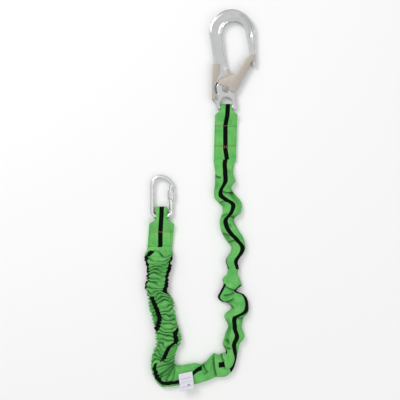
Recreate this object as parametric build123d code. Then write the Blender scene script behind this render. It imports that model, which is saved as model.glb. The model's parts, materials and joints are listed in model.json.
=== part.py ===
from build123d import *
import math
import os

# Shock absorbing lanyard, lying flat on a surface, in millimetres.
# +Y runs along the lanyard towards the scaffold hook, +X to its right, +Z up from the surface.
# The origin is under the middle of the whole lanyard, on the surface.

# Scaffold hook: forged bow, sheet gate and sheet lever
hook_at = (63.5, 224.0)         # middle of the eye's straight bar
hook_mid_z = 9.2                # height of the hook's middle plane
eye_bar_radius = 5.0
eye_hole_half = 15.3            # half the width of the eye's hole
eye_rim = 9.2
eye_straight = 9.9              # from the bar's axis up to the centre of the round top
web_half = 4.6                  # half the thickness of the shank, inside lever and gate
bow_half = 8.8                  # half the thickness of the bow
bow_inner_radius = 30.3
bow_outer_radius = 54.4
gate_pivot = (0.0, 45.0)
gate_rivet_radius = 4.0
gate_sheet = 1.7
lever_pivot = (-26.0, 22.0)
lever_rivet_radius = 2.5
lever_sheet = 1.5
slot_radius = 25.7              # guide slot, measured from the gate's rivet
guide_pin_radius = 1.6
guide_pin_angle = 138.0
sheet_gap = 0.3                 # between shank, lever and gate
rivet_head = 0.6

# Karabiner: round steel bar with a screw-locked gate
karabiner_at = (-91.9, -39.4)   # middle of the bottom bar
karabiner_mid_z = 9.2
bar_radius = 5.3
karabiner_back_x = -23.9        # axis of the back bar
karabiner_gate_x = 22.0         # axis of the gate
bottom_bend = 12.0
back_top_y = 76.0
bow_apex = (-2.5, 95.8)
shoulder_at = (25.5, 75.0)
hinge_y = 16.0
hinge_pin_radius = 1.6
hinge_tongue_half = 2.5
gate_top_y = 69.4
nose_shrink = 0.3               # the nose is thinner than the gate, so that the sleeve passes it
sleeve_radius = 9.15
sleeve_bottom_y = 41.4
sleeve_top_y = 63.2
latch_y = 66.6
latch_pin_radius = 1.0
latch_half = 1.8
gate_bore = 2.7

# Webbing jacket with its strap, and what is sewn to it
layer = 2.6                     # jacket and strap together, one layer
eye_strap_half = 13.5           # half the width where it goes through the hook's eye
window_strap_half = 13.0        # half the width where it goes through the karabiner
karabiner_end_width = 60.0
hook_end_width = 54.0
flat_top = 8.6                  # top of the flat sewn ends
jacket_wall = 2.0
gathered_size = (58.0, 25.0)
bottom_size = (50.0, 25.0)
loose_size = (46.0, 22.0)
core_width = 30.0
core_thickness = 3.0
core_z = 12.0                   # height of the strap's and the cords' middle
elastic_radius = 1.5
elastic_at = 17.5
surface_gap = 0.2

# Clearances
running_gap = 0.05
loop_gap = 1.1
part_gap = 0.3
nose_gap = 0.5                  # the gate's end swings past the nose

# Route of the jacket from the karabiner end, round the bottom, to the hook end
gathered_route = [
    (-98.0, -120.0), (-98.0, -156.0), (-99.0, -194.0), (-104.0, -230.0),
    (-97.0, -264.0), (-84.0, -296.0), (-77.0, -330.0),
]
bottom_route = [
    (-87.0, -370.0), (-84.0, -404.0), (-56.0, -426.0), (-18.0, -421.0),
    (28.0, -406.0), (58.0, -388.0), (75.0, -359.0),
]
loose_route = [
    (81.0, -324.0), (84.0, -289.0), (89.0, -256.0), (77.0, -227.0),
    (73.0, -195.0), (77.0, -163.0), (88.0, -133.0), (87.0, -104.0),
    (75.0, -78.0), (67.0, -50.0), (73.0, -20.0), (62.0, 8.0),
    (56.0, 38.0), (60.0, 66.0), (60.0, 92.0),
]

# Label
label_size = (33.0, 41.0, 0.4)
label_at = (-33.0, -436.5)
label_turn = 7.0

# Stitching
thread_radius = 0.45
stitch_length = 3.2
stitch_pitch = 4.4


def in_hook(shape):
    return Pos(hook_at[0], hook_at[1], hook_mid_z) * shape


def in_karabiner(shape):
    return Pos(karabiner_at[0], karabiner_at[1], karabiner_mid_z) * shape


def slab(sketch, low, high):
    return Pos(0, 0, low) * extrude(sketch, high - low, dir=(0, 0, 1))


def peg(at, radius, low, high):
    return Pos(at[0], at[1], low) * extrude(Circle(radius), high - low)


def on_circle(centre, radius, degrees):
    turn = math.radians(degrees)
    return (centre[0] + radius * math.cos(turn), centre[1] + radius * math.sin(turn))


# Scaffold hook, about the middle of its eye's bar
eye_outer_half = eye_hole_half + eye_rim
bow_outer_centre = (14.0, 182.0)
lever_back_x = -33.9
lever_bottom_y = 17.2
lever_top_y = 104.5
cheek_low = web_half + sheet_gap
cheek_high = cheek_low + lever_sheet
plate_low = cheek_high + sheet_gap
plate_high = plate_low + gate_sheet
shank_back_x = lever_back_x + lever_sheet + 1.1


def hook_outline():
    with BuildSketch() as outline:
        with BuildLine():
            start = (-eye_outer_half, 4)
            shank = Polyline(
                start, (-eye_outer_half, 10), (-28, 14.5), (shank_back_x, 20),
                (shank_back_x, 26), (shank_back_x + 4.8, lever_top_y + 0.5), (-28.8, lever_top_y + 4),
                (-31, 124), (bow_outer_centre[0] - bow_outer_radius, bow_outer_centre[1]),
            )
            top = (bow_outer_centre[0], bow_outer_centre[1] + bow_outer_radius)
            left_arc = TangentArc(shank @ 1, top, tangent=(0, 1))
            right_arc = ThreePointArc(top, on_circle(bow_outer_centre, bow_outer_radius - 1.2, 42), (68.2, 172))
            nose_out = Polyline(right_arc @ 1, (69.6, 139), (71.0, 102.5))
            nose_tip = ThreePointArc(nose_out @ 1, (68.5, 97.6), (65.8, 101.5))
            nose_in = Polyline(nose_tip @ 1, (61.2, 112), (58.2, 128), (53.7, 153.4), (49.0, 177))
            inner = ThreePointArc(nose_in @ 1, (18.7, 178.0 + bow_inner_radius), (-11.6, 177))
            hip = Polyline(
                inner @ 1, (-4.4, 124.4), (3.6, 87.8), (11, 72), (20, 58), (21.5, 46),
                (20.5, 34), (eye_outer_half, 12), (eye_outer_half, 4),
            )
            ThreePointArc(hip @ 1, (21.8, -2.4), (15.5, -5))
            Line((15.5, -5), (-15.5, -5))
            ThreePointArc((-15.5, -5), (-21.8, -2.4), start)
        make_face()
    return outline.sketch


def hook_profile():
    steps = [(-8, 5.0), (12, 5.0), (16, web_half), (105, web_half), (150, 7.2), (205, bow_half), (240, bow_half)]
    points = [(y, h) for y, h in steps] + [(y, -h) for y, h in reversed(steps)]
    face = Plane.YZ * Polygon(*points, align=None)
    return Pos(-80, 0, 0) * extrude(face, 200, dir=(1, 0, 0))


def eye_hole():
    hole = Pos(0, eye_straight, 0) * Circle(eye_hole_half)
    hole += Pos(0, eye_straight / 2 - 5, 0) * Rectangle(2 * eye_hole_half, eye_straight + 10)
    return slab(hole, -20, 20)


def eye_bar():
    reach = eye_hole_half + 2
    return Pos(-reach, 0, 0) * (Rot(0, 90, 0) * extrude(Circle(eye_bar_radius), 2 * reach))


def guide_slot():
    path = CenterArc(gate_pivot, slot_radius, 134, 72)
    return slab(SlotArc(path, 2 * guide_pin_radius + 0.7), -20, 20)


def bow_groove():
    path = CenterArc(bow_outer_centre, 45.0, -14, 76)
    groove = SlotArc(path, 5.0)
    return slab(groove, 6.9, 20) + slab(groove, -20, -6.9)


def hook_body():
    body = slab(hook_outline(), -12, 12) & hook_profile()
    body -= eye_hole() + guide_slot()
    body -= peg(gate_pivot, gate_rivet_radius + running_gap, -20, 20)
    body -= peg(gate_pivot, 8.6, 0.4, 20)
    body -= peg(lever_pivot, lever_rivet_radius + running_gap, -20, 20)
    body -= Pos(-19.5, 82, 0) * (Rot(0, -90, 0) * extrude(Circle(3.3), 20))
    body -= bow_groove()
    body += eye_bar()
    return in_hook(body)


def gate_plate():
    with BuildSketch() as outline:
        with BuildLine():
            start = (16.5, 35.3)
            diagonal = Line(start, (-20.0, 58.2))
            corner = ThreePointArc(diagonal @ 1, (-23.3, 62.4), (-20.6, 67.0))
            lobe = ThreePointArc(corner @ 1, (-3, 80.6), (16.5, 80.6))
            dip = ThreePointArc(lobe @ 1, (20, 79.6), (23, 82.2))
            inner = Polyline(dip @ 1, (40.2, 107.2), (53.0, 122.6))
            tip = ThreePointArc(inner @ 1, (60.0, 127.0), (66.6, 126.0))
            nose = ThreePointArc(tip @ 1, (70.0, 120.5), (65.5, 112.5))
            outer = Polyline(nose @ 1, (59.5, 107.5), (48.9, 88.8), (36.8, 65.1), (25.2, 43.5))
            ThreePointArc(outer @ 1, (21.6, 37.8), start)
        make_face()
    return outline.sketch


def gate_web():
    strip = make_face(Polyline(
        (32.0, 95.3), (40.2, 107.2), (53.0, 122.6), (54.3, 121.5), (41.6, 106.2), (33.4, 94.3), (32.0, 95.3)))
    return slab(strip, -plate_low, plate_low)


def hook_gate():
    plate = gate_plate()
    gate = slab(plate, plate_low, plate_high) + slab(plate, -plate_high, -plate_low) + gate_web()
    gate -= peg(gate_pivot, gate_rivet_radius, -20, 20)
    gate -= peg(on_circle(gate_pivot, slot_radius, guide_pin_angle), guide_pin_radius, -20, 20)
    return in_hook(gate)


def lever_cheek():
    with BuildSketch() as outline:
        with BuildLine():
            Polyline((-24.5, 31.5), (-19.5, 27), (-19.5, lever_bottom_y), (lever_back_x, lever_bottom_y),
                     (lever_back_x, lever_top_y), (-14.3, lever_top_y), (-15, 84), (-22.2, 68.0))
            ThreePointArc((-22.2, 68.0), (-29.3, 47), (-24.5, 31.5))
        make_face()
    return outline.sketch


def hook_lever():
    cheek = lever_cheek()
    lever = slab(cheek, cheek_low, cheek_high) + slab(cheek, -cheek_high, -cheek_low)
    middle = ((lever_back_x + lever_sheet / 2), (lever_bottom_y + lever_top_y) / 2)
    lever += Pos(middle[0], middle[1], 0) * Box(lever_sheet, lever_top_y - lever_bottom_y, 2 * cheek_high)
    lever -= peg(lever_pivot, lever_rivet_radius, -20, 20)
    back_edges = lever.edges().filter_by(Axis.Y).group_by(Axis.X)[0]
    lever = fillet(back_edges, lever_sheet * 0.9)
    return in_hook(lever)


def headed_pin(at, radius, half, head_radius):
    pin = peg(at, radius, -half, half)
    pin += peg(at, head_radius, half, half + rivet_head)
    pin += peg(at, head_radius, -half - rivet_head, -half)
    return pin


def hook_gate_rivet():
    return in_hook(headed_pin(gate_pivot, gate_rivet_radius, plate_high, 6.2))


def hook_lever_rivet():
    return in_hook(headed_pin(lever_pivot, lever_rivet_radius, cheek_high, 3.9))


def hook_guide_pin():
    at = on_circle(gate_pivot, slot_radius, guide_pin_angle)
    return in_hook(peg(at, guide_pin_radius, -plate_high, plate_high))


def coil(radius, wire, pitch, turns):
    path = Helix(pitch, pitch * turns, radius)
    section = Plane(path @ 0, z_dir=path % 0) * Circle(wire)
    return sweep(section, path, is_frenet=True)


def hook_gate_spring():
    return in_hook(Pos(gate_pivot[0], gate_pivot[1], 1.3) * coil(6.3, 0.6, 1.35, 2.0))


def hook_lever_spring():
    spring = Rot(0, -90, 0) * coil(2.4, 0.4, 2.0, 5.6)
    return in_hook(Pos(-20.0, 82, 0) * spring)


# Karabiner, about the middle of its bottom bar
def karabiner_frame():
    gx = karabiner_gate_x
    bx = karabiner_back_x
    bend = bottom_bend
    corner = math.sqrt(0.5) * bend
    with BuildLine() as path:
        first = ThreePointArc((gx, bend), (gx - bend + corner, bend - corner), (gx - bend, 0))
        bottom = Line(first @ 1, (bx + bend, 0))
        second = ThreePointArc(bottom @ 1, (bx + bend - corner, bend - corner), (bx, bend))
        back = Line(second @ 1, (bx, back_top_y))
        left_top = TangentArc(back @ 1, bow_apex, tangent=(0, 1))
        TangentArc(left_top @ 1, shoulder_at, tangent=left_top % 1)
    section = Plane((gx, bend, 0), z_dir=(0, -1, 0)) * Circle(bar_radius)
    frame = sweep(section, path.wire())
    frame += Pos(shoulder_at[0], shoulder_at[1], 0) * Sphere(bar_radius)
    nose_radius = bar_radius - nose_shrink
    nose_length = shoulder_at[1] - gate_top_y
    frame += Pos(gx, gate_top_y, 0) * (Rot(-90, 0, 0) * extrude(Circle(nose_radius), nose_length))
    tongue = Pos(gx, latch_y + 0.5, 0) * Box(6.4, 5.8, 2 * latch_half)
    tongue -= Pos(gx - 2, latch_y, 0) * Box(4 + 2 * latch_pin_radius, 2 * latch_pin_radius + 0.8, 8)
    frame += tongue
    hinge = Pos(gx, (bend + hinge_y) / 2 - 1, 0) * Box(8.4, hinge_y - bend + 2, 2 * hinge_tongue_half)
    hinge += slab(Pos(gx, hinge_y, 0) * Circle(4.2), -hinge_tongue_half, hinge_tongue_half)
    frame += hinge
    frame -= peg((gx, hinge_y), hinge_pin_radius + running_gap, -20, 20)
    return in_karabiner(frame)


def karabiner_gate():
    gx = karabiner_gate_x
    top = gate_top_y - nose_gap
    bottom = hinge_y - 3.7
    tube = Pos(gx, bottom, 0) * (Rot(-90, 0, 0) * extrude(Circle(bar_radius), top - bottom))
    tube += Pos(gx, 34, 0) * (Rot(-90, 0, 0) * extrude(Circle(bar_radius + 0.6), 2))
    keep = slab(Pos(gx, hinge_y, 0) * Circle(3.7), -10, 10) + Pos(gx, hinge_y + 30, 0) * Box(30, 60, 20)
    tube &= keep
    slot_half = hinge_tongue_half + part_gap
    tube -= Pos(gx, hinge_y - 6 + 5.4, 0) * Box(30, 12, 2 * slot_half)
    tube -= Pos(gx, latch_y + 3.5, 0) * Box(30, 13, 2 * (latch_half + part_gap))
    tube -= Pos(gx, 20, 0) * (Rot(-90, 0, 0) * extrude(Circle(gate_bore), 32))
    tube -= peg((gx, hinge_y), hinge_pin_radius, -20, 20)
    tube -= peg((gx, latch_y), latch_pin_radius, -20, 20)
    return in_karabiner(tube)


def karabiner_sleeve():
    length = sleeve_top_y - sleeve_bottom_y
    sleeve = extrude(Circle(sleeve_radius), length)
    sleeve = fillet(sleeve.edges(), 2.4)
    sleeve -= extrude(Circle(bar_radius + running_gap), length)
    flute = Circle(1.1)
    for step in range(12):
        at = on_circle((0, 0), sleeve_radius + 0.5, 30 * step + 15)
        sleeve -= Pos(at[0], at[1], 4) * extrude(flute, length - 8)
    return in_karabiner(Pos(karabiner_gate_x, sleeve_bottom_y, 0) * (Rot(-90, 0, 0) * sleeve))


def karabiner_hinge_pin():
    half = math.sqrt(bar_radius ** 2 - hinge_pin_radius ** 2) - 0.1
    return in_karabiner(peg((karabiner_gate_x, hinge_y), hinge_pin_radius, -half, half))


def karabiner_latch_pin():
    half = math.sqrt(bar_radius ** 2 - latch_pin_radius ** 2) - 0.1
    return in_karabiner(peg((karabiner_gate_x, latch_y), latch_pin_radius, -half, half))


def karabiner_plunger():
    pin = extrude(Circle(gate_bore - running_gap), 5)
    pin = fillet(pin.edges().group_by(Axis.Z)[0], 0.8)
    return in_karabiner(Pos(karabiner_gate_x, hinge_y + 4.5, 0) * (Rot(-90, 0, 0) * pin))


def karabiner_gate_spring():
    spring = Rot(-90, 0, 0) * coil(2.0, 0.4, 2.6, 9)
    return in_karabiner(Pos(karabiner_gate_x, hinge_y + 10.4, 0) * spring)


# Webbing
def tube_path(route):
    runs = [math.dist(a, b) for a, b in zip(route, route[1:])]
    radii = []
    for i in range(1, len(route) - 1):
        before = Vector(*route[i]) - Vector(*route[i - 1])
        after = Vector(*route[i + 1]) - Vector(*route[i])
        turn = math.radians(before.get_angle(after))
        radii.append(0.45 * min(runs[i - 1], runs[i]) / math.tan(turn / 2))
    print("radii", [round(r) for r in radii], "longest run", round(max(runs)))
    return FilletPolyline(*[(x, y, 0) for x, y in route], radius=radii)


def halfway(a, b):
    return ((a[0] + b[0]) / 2, (a[1] + b[1]) / 2)


gathered_path = gathered_route + [halfway(gathered_route[-1], bottom_route[0])]
bottom_path = [gathered_path[-1]] + bottom_route + [halfway(bottom_route[-1], loose_route[0])]
loose_path = [bottom_path[-1]] + loose_route


def follow(route, across, height, low):
    path = tube_path(route)
    start = Plane((route[0][0], route[0][1], low), x_dir=Vector(0, 0, 1), z_dir=path % 0)
    wire = Pos(0, 0, low) * path
    return sweep(start * Ellipse(height / 2, across / 2), wire)


def jacket_tube(route, size):
    mid_z = size[1] / 2 + surface_gap
    outer = follow(route, size[0], size[1], mid_z)
    inner = follow(route, size[0] - 2 * jacket_wall, size[1] - 2 * jacket_wall, mid_z)
    print("tube volume", round(outer.volume), "against",
          round(math.pi / 4 * size[0] * size[1] * tube_path(route).length))
    return outer - inner


def jacket_gathered():
    return jacket_tube(gathered_path, gathered_size)


def jacket_bottom():
    return jacket_tube(bottom_path, bottom_size)


def jacket_loose():
    return jacket_tube(loose_path, loose_size)


core_route = gathered_route + bottom_route + loose_route


def absorber_core():
    path = tube_path(core_route)
    start = Plane((core_route[0][0], core_route[0][1], core_z), x_dir=Vector(0, 0, 1), z_dir=path % 0)
    return sweep(start * Rectangle(core_thickness, core_width), Pos(0, 0, core_z) * path)


def elastic_cords():
    path = tube_path(core_route)
    start = Plane((core_route[0][0], core_route[0][1], core_z), x_dir=Vector(0, 0, 1), z_dir=path % 0)
    cords = [sweep(start * Pos(0, side * elastic_at, 0) * Circle(elastic_radius), Pos(0, 0, core_z) * path)
             for side in (-1, 1)]
    return Compound(children=[cord.solid() for cord in cords])


def loop_block(width_plan, bar_z, bar_radius_here, fold_reach, end_y):
    cavity_half = bar_radius_here + loop_gap
    outer_half = cavity_half + layer
    back = -(cavity_half + 3)
    low = bar_z - outer_half
    with BuildSketch(Plane.YZ) as side:
        with BuildLine():
            fold = ThreePointArc(
                (fold_reach - cavity_half, bar_z + outer_half), (fold_reach + layer, bar_z),
                (fold_reach - cavity_half, bar_z - outer_half))
            Polyline(fold @ 1, (end_y, low), (end_y, flat_top), (back - 26, flat_top),
                     (back - 4, bar_z + outer_half), fold @ 0)
        make_face()
        with BuildLine():
            hollow = ThreePointArc(
                (fold_reach - cavity_half, bar_z + cavity_half), (fold_reach, bar_z),
                (fold_reach - cavity_half, bar_z - cavity_half))
            Polyline(hollow @ 1, (back, bar_z - cavity_half), (back - 20, bar_z - cavity_half + 2),
                     (back, bar_z + cavity_half), hollow @ 0)
        make_face(mode=Mode.SUBTRACT)
    block = Pos(-60, 0, 0) * extrude(side.sketch, 120, dir=(1, 0, 0))
    return block & slab(width_plan, -1, 40)


def end_plan(strap_half, full_half, fold_reach, flare_y, end_y, end_shift):
    return make_face(Polyline(
        (-strap_half, fold_reach + 10), (strap_half, fold_reach + 10), (strap_half, flare_y),
        (full_half, flare_y - 12), (full_half + end_shift, end_y), (-full_half + end_shift, end_y),
        (-full_half, flare_y - 12), (-strap_half, flare_y), (-strap_half, fold_reach + 10)))


def karabiner_end():
    end_y = gathered_route[0][1] - karabiner_at[1]
    shift = gathered_route[0][0] - (karabiner_at[0] - 1)
    reach = 21.0
    plan = end_plan(window_strap_half, karabiner_end_width / 2, reach, -bar_radius - loop_gap, end_y, shift)
    block = loop_block(plan, karabiner_mid_z, bar_radius, reach, end_y)
    return Pos(karabiner_at[0] - 1, karabiner_at[1], 0) * block


def hook_end():
    end_y = hook_at[1] - loose_route[-1][1]
    shift = loose_route[-1][0] - hook_at[0]
    reach = eye_bar_radius + 1.0
    plan = end_plan(eye_strap_half, hook_end_width / 2, reach, -eye_bar_radius - loop_gap, -end_y, shift)
    block = loop_block(plan, hook_mid_z, eye_bar_radius, reach, -end_y)
    return Pos(hook_at[0], hook_at[1], 0) * block


def stitch_rows(x, y_low, y_high, offsets):
    stitches = []
    for offset in offsets:
        count = int((y_high - y_low) / stitch_pitch)
        for step in range(count):
            y = y_low + (step + 0.5) * stitch_pitch
            thread = Rot(90, 0, 0) * extrude(Circle(thread_radius), stitch_length / 2, both=True)
            stitches.append((Pos(x + offset, y, flat_top + thread_radius + 0.02) * thread).solid())
    return Compound(children=stitches)


def karabiner_end_stitching():
    return stitch_rows(karabiner_at[0] - 3.5, -116, -82, (-12, -4, 4, 12))


def hook_end_stitching():
    return stitch_rows(hook_at[0] - 1.5, 128, 178, (-12, -4, 4, 12))


def label_leaf(layer_number):
    top = bottom_size[1] + surface_gap + 0.3
    z = top + layer_number * (label_size[2] + 0.15)
    return Pos(label_at[0], label_at[1], z + label_size[2] / 2) * (Rot(0, 0, label_turn) * Box(*label_size))


def label_front():
    return label_leaf(1)


def label_back():
    return label_leaf(0)


nodes = {
    "hook_body": hook_body,
    "hook_gate": hook_gate,
    "hook_lever": hook_lever,
    "hook_gate_rivet": hook_gate_rivet,
    "hook_lever_rivet": hook_lever_rivet,
    "hook_guide_pin": hook_guide_pin,
    "hook_gate_spring": hook_gate_spring,
    "hook_lever_spring": hook_lever_spring,
    "karabiner_frame": karabiner_frame,
    "karabiner_gate": karabiner_gate,
    "karabiner_sleeve": karabiner_sleeve,
    "karabiner_hinge_pin": karabiner_hinge_pin,
    "karabiner_latch_pin": karabiner_latch_pin,
    "karabiner_plunger": karabiner_plunger,
    "karabiner_gate_spring": karabiner_gate_spring,
    "karabiner_end": karabiner_end,
    "hook_end": hook_end,
    "jacket_gathered": jacket_gathered,
    "jacket_bottom": jacket_bottom,
    "jacket_loose": jacket_loose,
    "absorber_core": absorber_core,
    "elastic_cords": elastic_cords,
    "karabiner_end_stitching": karabiner_end_stitching,
    "hook_end_stitching": hook_end_stitching,
    "label_front": label_front,
    "label_back": label_back,
}

os.makedirs("parts", exist_ok=True)
for name, make in nodes.items():
    print(name)
    export_step(make(), f"parts/{name}.step")
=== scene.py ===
import bpy
import bmesh
import json
import math
import numpy as np
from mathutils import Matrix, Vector, kdtree, noise


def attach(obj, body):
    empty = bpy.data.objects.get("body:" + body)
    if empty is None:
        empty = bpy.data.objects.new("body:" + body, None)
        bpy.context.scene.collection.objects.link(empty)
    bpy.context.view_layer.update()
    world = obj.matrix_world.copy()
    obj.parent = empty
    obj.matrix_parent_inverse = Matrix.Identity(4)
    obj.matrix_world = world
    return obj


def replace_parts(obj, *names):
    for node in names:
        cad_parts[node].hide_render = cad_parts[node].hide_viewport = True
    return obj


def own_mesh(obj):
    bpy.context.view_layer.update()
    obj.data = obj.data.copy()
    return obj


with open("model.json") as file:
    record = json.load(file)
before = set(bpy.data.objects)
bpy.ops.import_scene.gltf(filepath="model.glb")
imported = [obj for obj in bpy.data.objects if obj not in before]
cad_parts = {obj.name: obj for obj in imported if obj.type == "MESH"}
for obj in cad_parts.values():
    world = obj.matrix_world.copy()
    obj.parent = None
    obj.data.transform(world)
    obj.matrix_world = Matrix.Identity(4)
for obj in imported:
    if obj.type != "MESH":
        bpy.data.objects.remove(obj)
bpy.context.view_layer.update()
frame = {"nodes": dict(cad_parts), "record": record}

mm = 0.001
collection = bpy.context.scene.collection


def linear(hexCode):
    # sRGB hex to linear colour
    channels = [int(hexCode[i:i + 2], 16) / 255 for i in (0, 2, 4)]
    curve = [c / 12.92 if c <= 0.04045 else ((c + 0.055) / 1.055) ** 2.4 for c in channels]
    return (*curve, 1.0)


def addNode(tree, kind, settings=None, values=None, links=None):
    node = tree.nodes.new(kind)
    for key, value in (settings or {}).items():
        setattr(node, key, value)
    for key, value in (values or {}).items():
        node.inputs[key].default_value = value
    for key, socket in (links or {}).items():
        tree.links.new(socket, node.inputs[key])
    return node


def newMaterial(name, values):
    material = bpy.data.materials.new(name)
    material.use_nodes = True
    tree = material.node_tree
    tree.nodes.clear()
    shader = addNode(tree, "ShaderNodeBsdfPrincipled", values=values)
    addNode(tree, "ShaderNodeOutputMaterial", links={"Surface": shader.outputs[0]})
    return material, tree, shader


def addObject(name, mesh, material=None, smooth=True):
    piece = bpy.data.objects.new(name, mesh)
    collection.objects.link(piece)
    if material:
        mesh.materials.clear()
        mesh.materials.append(material)
    if smooth:
        mesh.polygons.foreach_set("use_smooth", [True] * len(mesh.polygons))
    return piece


def bakeModifiers(piece):
    bpy.context.view_layer.update()
    graph = bpy.context.evaluated_depsgraph_get()
    mesh = bpy.data.meshes.new_from_object(piece.evaluated_get(graph))
    piece.modifiers.clear()
    piece.data = mesh
    return piece


# camera, light and floor: lamps are given as place in metres and power in watts
studio = {"cameraHeight": 1.9, "frameWidth": 0.968, "subjectHeight": 0.010, "sensor": 36, "lampSize": 1.1,
          "sky": 0.86, "horizon": 0.30, "floorHalf": 6,
          "lamps": {"key": ((-1.4, 1.5, 2.2), 30), "fill": ((1.7, -0.6, 1.8), 5)}}


def lookAt(thing, target):
    thing.rotation_euler = (Vector(target) - thing.location).to_track_quat("-Z", "Y").to_euler()


def buildStudio():
    camera = bpy.data.cameras.new("camera")
    camera.sensor_width = studio["sensor"]
    camera.lens = studio["sensor"] * (studio["cameraHeight"] - studio["subjectHeight"]) / studio["frameWidth"]
    camera.clip_end = 50
    eye = bpy.data.objects.new("camera", camera)
    eye.location = (0, 0, studio["cameraHeight"])
    collection.objects.link(eye)
    bpy.context.scene.camera = eye
    bpy.context.scene.view_settings.view_transform = "Standard"
    for name, (place, power) in studio["lamps"].items():
        lamp = bpy.data.lights.new(name, "AREA")
        lamp.energy = power
        lamp.size = studio["lampSize"]
        thing = bpy.data.objects.new(name, lamp)
        thing.location = place
        lookAt(thing, (0, 0, 0))
        collection.objects.link(thing)
    world = bpy.data.worlds.new("studio")
    bpy.context.scene.world = world
    world.use_nodes = True
    tree = world.node_tree
    tree.nodes.clear()
    place = addNode(tree, "ShaderNodeTexCoord")
    axes = addNode(tree, "ShaderNodeSeparateXYZ", links={0: place.outputs["Generated"]})
    # a pale dome, darker towards the horizon, so that bright metal has something to mirror
    dome = addNode(tree, "ShaderNodeMapRange", {"interpolation_type": "SMOOTHSTEP"},
                   {"From Min": 0.0, "From Max": 0.8, "To Min": studio["horizon"], "To Max": 1.0},
                   {"Value": axes.outputs["Z"]})
    back = addNode(tree, "ShaderNodeBackground", values={"Color": (1, 1, 1, 1)})
    strength = addNode(tree, "ShaderNodeMath", {"operation": "MULTIPLY"}, {1: studio["sky"]},
                       {0: dome.outputs[0]})
    tree.links.new(strength.outputs[0], back.inputs["Strength"])
    addNode(tree, "ShaderNodeOutputWorld", links={"Surface": back.outputs[0]})
    floorMesh = bpy.data.meshes.new("floor")
    half = studio["floorHalf"]
    corners = [(-half, -half, 0), (half, -half, 0), (half, half, 0), (-half, half, 0)]
    floorMesh.from_pydata(corners, [], [(0, 1, 2, 3)])
    material, tree, shader = newMaterial("paperSweep", {"Base Color": linear("f6f6f6"), "Roughness": 0.9})
    addObject("floor", floorMesh, material, False)


buildStudio()
print("studio ready")

# woven polyester tape, dyed green with a black tracer: matt, faintly ribbed, a little fuzz at
# grazing angles; blotches and streaks are given as so many to the metre, across and along the tape;
# shaded is painted shade, laid into the folds, under the creases and along the seams
webbingLook = {"green": "66bd5e", "greenPale": "80cb75", "greenDeep": "35a649", "shaded": "064a1a",
               "black": "010a04", "tracerHalf": 5.5 * mm, "tracerBlur": 0.25 * mm, "yarn": 1.7 * mm,
               "pick": 1.3 * mm, "relief": 0.35 * mm, "blotches": 45.0, "streaks": (420.0, 18.0, 1.0)}


def wovenWebbing():
    look = webbingLook
    material, tree, shader = newMaterial("wovenPolyesterTape", {
        "Roughness": 0.85, "Sheen Weight": 0.03, "Sheen Roughness": 0.5, "Specular IOR Level": 0.1})
    tracer = addNode(tree, "ShaderNodeAttribute", {"attribute_name": "tracer"})
    mask = addNode(tree, "ShaderNodeMapRange", {"interpolation_type": "SMOOTHSTEP"},
                   {"From Min": look["tracerHalf"] + look["tracerBlur"],
                    "From Max": look["tracerHalf"] - look["tracerBlur"]},
                   {"Value": tracer.outputs["Fac"]})
    place = addNode(tree, "ShaderNodeUVMap", {"uv_map": "weave"})
    blotch = addNode(tree, "ShaderNodeTexNoise", {"noise_dimensions": "2D"},
                     {"Scale": look["blotches"], "Detail": 3.0}, {"Vector": place.outputs[0]})
    streakPlace = addNode(tree, "ShaderNodeMapping", values={"Scale": look["streaks"]},
                          links={"Vector": place.outputs[0]})
    streak = addNode(tree, "ShaderNodeTexNoise", {"noise_dimensions": "2D"}, {"Scale": 1.0, "Detail": 2.0},
                     {"Vector": streakPlace.outputs[0]})
    base = addNode(tree, "ShaderNodeMix", {"data_type": "RGBA"},
                   {6: linear(look["green"]), 7: linear(look["greenPale"])}, {0: streak.outputs["Fac"]})
    shade = addNode(tree, "ShaderNodeMapRange", values={
        "From Min": 0.35, "From Max": 0.75, "To Min": 0.0, "To Max": 0.55},
        links={"Value": blotch.outputs["Fac"]})
    deep = addNode(tree, "ShaderNodeMix", {"data_type": "RGBA"}, {7: linear(look["greenDeep"])},
                   {0: shade.outputs[0], 6: base.outputs[2]})
    # painted shade: the fold attribute mixes the tape towards shaded in the folds, under the creases and
    # along the seams
    fold = addNode(tree, "ShaderNodeAttribute", {"attribute_name": "fold"})
    foldShade = addNode(tree, "ShaderNodeMix", {"data_type": "RGBA"}, {7: linear(look["shaded"])},
                     {0: fold.outputs["Fac"], 6: deep.outputs[2]})
    dyed = addNode(tree, "ShaderNodeMix", {"data_type": "RGBA"}, {7: linear(look["black"])},
                   {0: mask.outputs[0], 6: foldShade.outputs[2]})
    tree.links.new(dyed.outputs[2], shader.inputs["Base Color"])
    # plain weave: yarns along the tape and picks across it
    axes = addNode(tree, "ShaderNodeSeparateXYZ", links={0: place.outputs[0]})
    waves = []
    for axis, pitch in (("X", look["yarn"]), ("Y", look["pick"])):
        turn = addNode(tree, "ShaderNodeMath", {"operation": "MULTIPLY"}, {1: math.tau / pitch},
                       {0: axes.outputs[axis]})
        waves.append(addNode(tree, "ShaderNodeMath", {"operation": "SINE"}, links={0: turn.outputs[0]}))
    weave = addNode(tree, "ShaderNodeMath", {"operation": "MULTIPLY"},
                    links={0: waves[0].outputs[0], 1: waves[1].outputs[0]})
    bump = addNode(tree, "ShaderNodeBump", values={"Strength": 0.55, "Distance": look["relief"]},
                   links={"Height": weave.outputs[0]})
    tree.links.new(bump.outputs[0], shader.inputs["Normal"])
    return material


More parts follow.
